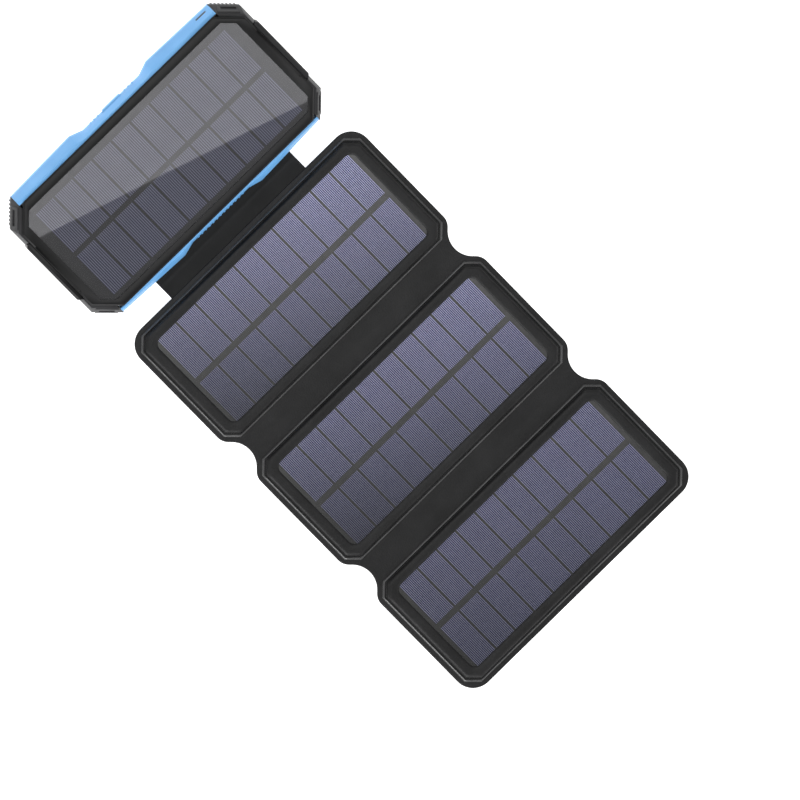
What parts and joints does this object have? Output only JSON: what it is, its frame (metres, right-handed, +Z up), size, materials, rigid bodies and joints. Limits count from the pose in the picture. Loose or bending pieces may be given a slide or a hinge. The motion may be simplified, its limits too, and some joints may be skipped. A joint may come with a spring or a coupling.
{
  "type": "solar phone charger",
  "caption": "Fold-out solar phone charger: a rugged power bank with side bumpers, joined by a leather flap to a folding wallet of solar panels that lie flat to charge.",
  "frame": {"origin": "centre of the footprint of the open charger, on the surface it lies on", "axes": "+X along the long side of the panels, +Y from the last panel to the power bank, +Z up out of the solar cells"},
  "size_m": [0.157, 0.338, 0.02],
  "materials": {
    "leather": "fine pebble grain, satin",
    "copper_leads": "tinned copper foil",
    "solar_cells": "dark blue silicon with silver fingers",
    "solar_board": "glass-fibre board",
    "cover_sheet": "clear gloss",
    "clear_film": "clear satin film",
    "black_case": "fine textured",
    "corner_rubber": "matt with ribs",
    "blue_bumper": "soft-touch satin",
    "black_rubber": "matt",
    "button": "soft-touch satin",
    "torch_lens": "clear",
    "light_guide": "smoked clear",
    "reflector": "vacuum metallised",
    "circuit_board": "solder mask",
    "components": "moulded",
    "socket_steel": "plated",
    "socket_plastic": "moulded",
    "pouch_foil": "matt foil",
    "fixing_steel": "black zinc"
  },
  "bodies": {
    "panel_2": {"panel_2_back_leather": "leather", "panel_2_solar_board": "solar_board", "panel_2_solar_cells": "solar_cells", "panel_2_clear_film": "clear_film", "panel_2_front_leather": "leather"},
    "strip_2_inner": {"strip_2_inner": "leather", "strip_2_inner_leads": "copper_leads"},
    "strip_2_outer": {"strip_2_outer": "leather", "strip_2_outer_leads": "copper_leads"},
    "panel_3": {"panel_3_back_leather": "leather", "panel_3_solar_board": "solar_board", "panel_3_solar_cells": "solar_cells", "panel_3_clear_film": "clear_film", "panel_3_front_leather": "leather"},
    "strip_1_inner": {"strip_1_inner": "leather", "strip_1_inner_leads": "copper_leads"},
    "strip_1_outer": {"strip_1_outer": "leather", "strip_1_outer_leads": "copper_leads"},
    "panel_1": {"panel_1_back_leather": "leather", "panel_1_solar_board": "solar_board", "panel_1_solar_cells": "solar_cells", "panel_1_clear_film": "clear_film", "panel_1_front_leather": "leather", "flap_inner": "leather", "flap_inner_leads": "copper_leads"},
    "power_bank": {"flap_outer": "leather", "flap_outer_leads": "copper_leads", "flap_tongue": "leather", "flap_clamp_strip": "fixing_steel", "flap_clamp_screws": "fixing_steel", "rear_case": "black_case", "front_frame": "black_case", "case_gasket": "black_rubber", "case_screws": "fixing_steel", "corner_bumper_far_right": "corner_rubber", "corner_bumper_far_left": "corner_rubber", "corner_bumper_near_right": "corner_rubber", "corner_bumper_near_left": "corner_rubber", "side_bumper_far": "blue_bumper", "side_bumper_near": "blue_bumper", "charge_light_guide": "light_guide", "torch_frame": "black_case", "torch_lens": "torch_lens", "torch_reflector": "reflector", "torch_led_board": "circuit_board", "switch_module": "circuit_board", "battery_cell_1": "pouch_foil", "battery_cell_2": "pouch_foil", "battery_cell_3": "pouch_foil", "bank_solar_board": "solar_board", "bank_solar_cells": "solar_cells", "bank_cover_sheet": "cover_sheet", "main_board": "circuit_board", "board_components": "components", "usb_a_shells": "socket_steel", "usb_a_inserts": "socket_plastic", "micro_usb_socket": "socket_steel"},
    "port_cover": {"port_cover": "black_rubber"},
    "power_button": {"power_button": "button"}
  },
  "joints": [
    {"name": "panel_3_fold", "type": "hinge", "parent": "panel_2", "child": "panel_3", "pos_m": [0, -0.089, 0.00425], "axis": [-1, 0, 0], "range_deg": [0, 180]},
    {"name": "strip_2_inner_edge", "type": "hinge", "parent": "panel_2", "child": "strip_2_inner", "pos_m": [0, -0.0807, 0.0014], "axis": [-1, 0, 0], "range_deg": [0, 20.1]},
    {"name": "strip_2_outer_edge", "type": "hinge", "parent": "panel_3", "child": "strip_2_outer", "pos_m": [0, -0.0973, 0.0014], "axis": [1, 0, 0], "range_deg": [0, 20.1]},
    {"name": "panel_1_fold", "type": "hinge", "parent": "panel_2", "child": "panel_1", "pos_m": [0, -0.004, 0.0065], "axis": [1, 0, 0], "range_deg": [0, 180]},
    {"name": "strip_1_inner_edge", "type": "hinge", "parent": "panel_2", "child": "strip_1_inner", "pos_m": [0, -0.0123, 0.0014], "axis": [1, 0, 0], "range_deg": [0, 37.93]},
    {"name": "strip_1_outer_edge", "type": "hinge", "parent": "panel_1", "child": "strip_1_outer", "pos_m": [0, 0.0043, 0.0014], "axis": [-1, 0, 0], "range_deg": [0, 37.93]},
    {"name": "bank_flap_fold", "type": "hinge", "parent": "panel_1", "child": "power_bank", "pos_m": [0, 0.08425, -0.00025], "axis": [-1, 0, 0], "range_deg": [0, 180]},
    {"name": "port_cover_hinge", "type": "hinge", "parent": "power_bank", "child": "port_cover", "pos_m": [0.07575, 0.1278, 0.0029], "axis": [0, 1, 0], "range_deg": [0, 88]},
    {"name": "power_button_press", "type": "slide", "parent": "power_bank", "child": "power_button", "axis": [0, -1, 0], "range_m": [0, 0.0006], "stiffness_N_per_m": 800}
  ],
  "couplings": [
    {"joint": "strip_2_inner_edge", "follows": "panel_3_fold", "ratio": 0.11157},
    {"joint": "strip_2_outer_edge", "follows": "panel_3_fold", "ratio": 0.11157},
    {"joint": "strip_1_inner_edge", "follows": "panel_1_fold", "ratio": 0.21063},
    {"joint": "strip_1_outer_edge", "follows": "panel_1_fold", "ratio": 0.21063},
    {"joint": "bank_flap_fold", "follows": "panel_1_fold", "ratio": 1}
  ]
}
